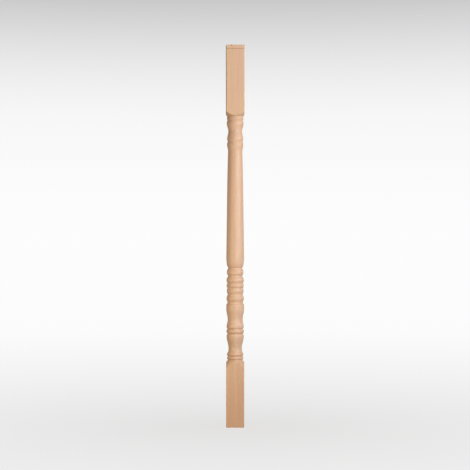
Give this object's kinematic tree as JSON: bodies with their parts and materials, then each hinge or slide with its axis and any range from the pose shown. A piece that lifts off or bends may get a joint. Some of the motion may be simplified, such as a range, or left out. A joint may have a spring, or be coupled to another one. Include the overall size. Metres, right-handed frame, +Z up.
{
  "type": "turned wooden baluster",
  "caption": "Turned wooden stair baluster with square end blocks, a long tapered column, beads, an urn and a vase below it, and a collar and a small vase above it.",
  "frame": {"origin": "centre of the bottom block's end, where the baluster is fixed to a tread or a base rail", "axes": "+Z up along the turning axis; -Y is the front, and the bottom block's faces look along X and Y"},
  "size_m": [0.0444, 0.0444, 0.9],
  "materials": {
    "beech": "sanded, unvarnished pale pinkish beech"
  },
  "bodies": {
    "root": {"baluster": "beech"}
  },
  "joints": []
}
